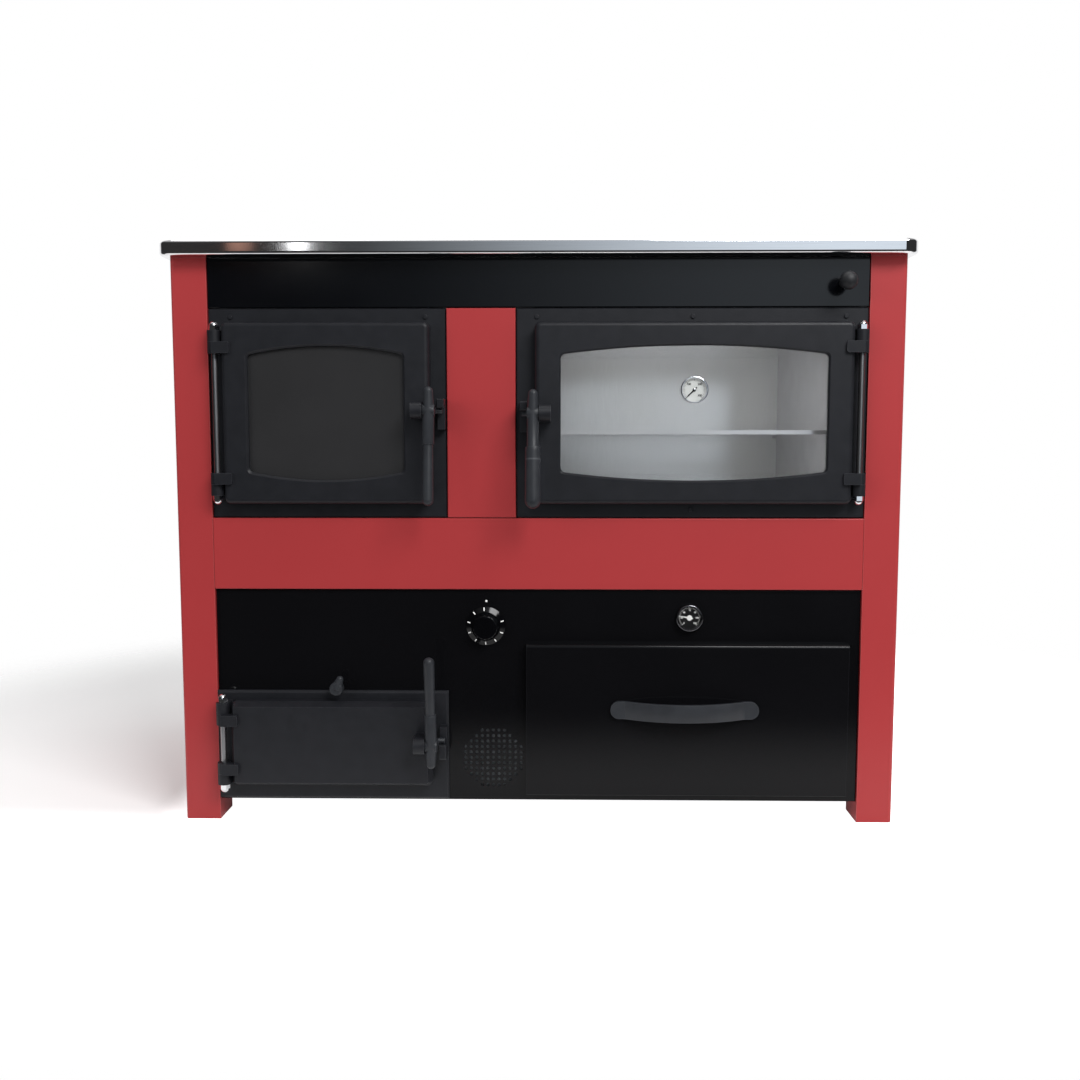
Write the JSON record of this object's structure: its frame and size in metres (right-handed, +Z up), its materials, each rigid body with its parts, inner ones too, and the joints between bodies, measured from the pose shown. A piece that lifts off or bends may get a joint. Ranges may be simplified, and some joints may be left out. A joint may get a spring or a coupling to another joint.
{
  "type": "wood cookstove",
  "caption": "Free-standing wood cookstove: polished hob frame on box posts, glazed fire and oven doors, ash door, fuel drawer, water jacket and rear flue.",
  "frame": {"origin": "centre of the bounding box in plan, at the floor under the feet", "axes": "+X to the right for someone who stands before the stove, +Y from its front to its back, +Z up"},
  "size_m": [1.126, 0.7246, 0.887],
  "materials": {
    "red_enamel": "deep red satin enamel on sheet steel",
    "black_enamel": "glossy black enamel on sheet steel",
    "fascia_enamel": "satin blue-black enamel",
    "cast_black": "cast iron with heat-resistant satin black paint",
    "hob_iron": "ground and oiled cast iron",
    "polished_rail": "polished stainless steel",
    "chrome_trim": "bright chrome plating",
    "handle_iron": "dark grey heat-resistant paint on cast iron",
    "stainless_oven": "bright stainless sheet",
    "ceramic_glass": "smoked heat-resistant glass",
    "clear_glass": "clear instrument glass",
    "rope_seal": "dark glass-fibre rope",
    "boiler_steel": "raw welded boiler plate, dull grey",
    "galvanised": "galvanised sheet",
    "black_plastic": "black heat-resistant plastic",
    "steel_fastener": "zinc-plated steel",
    "needle_black": "matt black",
    "needle_white": "matt white"
  },
  "bodies": {
    "carcass": {"column_front_left": "red_enamel", "column_front_right": "red_enamel", "column_rear_left": "red_enamel", "column_rear_right": "red_enamel", "side_panel_left": "red_enamel", "side_panel_right": "red_enamel", "back_panel": "galvanised", "base_plate": "galvanised", "front_bulkhead": "boiler_steel", "hob_frame": "polished_rail", "hob_plate_left": "hob_iron", "hob_plate_right": "hob_iron", "top_fascia": "fascia_enamel", "centre_panel": "red_enamel", "cross_band": "red_enamel", "lower_panel": "black_enamel", "fire_frame_plate": "cast_black", "oven_frame_plate": "cast_black", "ash_frame_plate": "cast_black", "hinge_rods": "steel_fastener", "hinge_cap_nuts": "chrome_trim", "plate_screws": "cast_black", "oven_liner": "stainless_oven", "smoke_box": "boiler_steel", "boiler_jacket": "boiler_steel", "ash_pit": "boiler_steel", "thermostat_body": "steel_fastener", "water_gauge_case": "chrome_trim", "water_gauge_glass": "clear_glass", "flue_collar": "hob_iron"},
    "fire_door_leaf": {"fire_door": "cast_black", "fire_door_seal": "rope_seal", "fire_door_glass": "ceramic_glass", "fire_glass_clips": "steel_fastener"},
    "oven_door_leaf": {"oven_door": "cast_black", "oven_door_seal": "rope_seal", "oven_door_glass": "ceramic_glass", "oven_glass_clips": "steel_fastener", "oven_thermometer_case": "chrome_trim", "oven_thermometer_glass": "clear_glass"},
    "ash_door_leaf": {"ash_door": "cast_black", "ash_door_seal": "rope_seal"},
    "fire_latch": {"fire_handle": "handle_iron"},
    "oven_latch": {"oven_handle": "handle_iron"},
    "ash_latch": {"ash_handle": "handle_iron"},
    "oven_pointer": {"oven_thermometer_needle": "needle_black"},
    "water_pointer": {"water_gauge_needle": "needle_white"},
    "damper": {"damper_rod": "steel_fastener", "damper_knob": "black_plastic"},
    "thermostat": {"thermostat_knob": "black_plastic"},
    "air_valve": {"air_flap": "galvanised"},
    "fuel_drawer": {"fuel_drawer_front": "black_enamel", "fuel_drawer_box": "galvanised", "fuel_drawer_handle": "handle_iron"},
    "lid_ring": {"hob_lid_ring": "hob_iron"},
    "lid_centre": {"hob_lid_centre": "hob_iron"},
    "shaking_grate": {"grate": "hob_iron", "riddling_lever": "handle_iron"},
    "pan": {"ash_pan": "galvanised"},
    "shelf": {"oven_shelf": "stainless_oven"}
  },
  "joints": [
    {"name": "fire_door_hinge", "type": "hinge", "parent": "carcass", "child": "fire_door_leaf", "pos_m": [-0.483, -0.29173, 0.6325], "axis": [0, 0, -1], "range_deg": [0, 120]},
    {"name": "fire_latch_turn", "type": "hinge", "parent": "fire_door_leaf", "child": "fire_latch", "pos_m": [-0.158, -0.32973, 0.636], "axis": [-1, 0, 0], "range_deg": [-3, 28]},
    {"name": "oven_door_hinge", "type": "hinge", "parent": "carcass", "child": "oven_door_leaf", "pos_m": [0.483, -0.29173, 0.6325], "axis": [0, 0, 1], "range_deg": [0, 120]},
    {"name": "oven_latch_turn", "type": "hinge", "parent": "oven_door_leaf", "child": "oven_latch", "pos_m": [-0.0045, -0.32973, 0.632], "axis": [-1, 0, 0], "range_deg": [-3, 28]},
    {"name": "oven_needle_turn", "type": "hinge", "parent": "oven_door_leaf", "child": "oven_pointer", "pos_m": [0.23425, -0.30073, 0.667], "axis": [0, 1, 0], "range_deg": [0, 270]},
    {"name": "ash_door_hinge", "type": "hinge", "parent": "carcass", "child": "ash_door_leaf", "pos_m": [-0.483, -0.29773, 0.127], "axis": [0, 0, -1], "range_deg": [0, 120]},
    {"name": "ash_latch_turn", "type": "hinge", "parent": "ash_door_leaf", "child": "ash_latch", "pos_m": [-0.158, -0.33573, 0.135], "axis": [1, 0, 0], "range_deg": [-3, 28]},
    {"name": "damper_pull", "type": "slide", "parent": "carcass", "child": "damper", "axis": [0, -1, 0], "range_m": [0, 0.04]},
    {"name": "thermostat_turn", "type": "hinge", "parent": "carcass", "child": "thermostat", "pos_m": [-0.079, -0.27173, 0.307], "axis": [0, 1, 0], "range_deg": [0, 285]},
    {"name": "air_flap_turn", "type": "hinge", "parent": "carcass", "child": "air_valve", "pos_m": [-0.068, -0.26163, 0.1507], "axis": [1, 0, 0], "range_deg": [0, 50.1]},
    {"name": "water_needle_turn", "type": "hinge", "parent": "carcass", "child": "water_pointer", "pos_m": [0.23425, -0.27773, 0.321], "axis": [0, 1, 0], "range_deg": [-55, 215]},
    {"name": "drawer_slide", "type": "slide", "parent": "carcass", "child": "fuel_drawer", "axis": [0, -1, 0], "range_m": [0, 0.38]},
    {"name": "lid_ring_lift", "type": "slide", "parent": "carcass", "child": "lid_ring", "axis": [0, 0, 1], "range_m": [0, 0.15]},
    {"name": "lid_centre_lift", "type": "slide", "parent": "lid_ring", "child": "lid_centre", "axis": [0, 0, 1], "range_m": [0, 0.15]},
    {"name": "grate_shake", "type": "slide", "parent": "carcass", "child": "shaking_grate", "axis": [0, -1, 0], "range_m": [0, 0.025]},
    {"name": "ash_pan_slide", "type": "slide", "parent": "carcass", "child": "pan", "axis": [0, -1, 0], "range_m": [0, 0.05]},
    {"name": "oven_shelf_slide", "type": "slide", "parent": "carcass", "child": "shelf", "axis": [0, -1, 0], "range_m": [0, 0.03]}
  ],
  "couplings": [
    {"joint": "air_flap_turn", "follows": "thermostat_turn", "ratio": 0.1754}
  ]
}
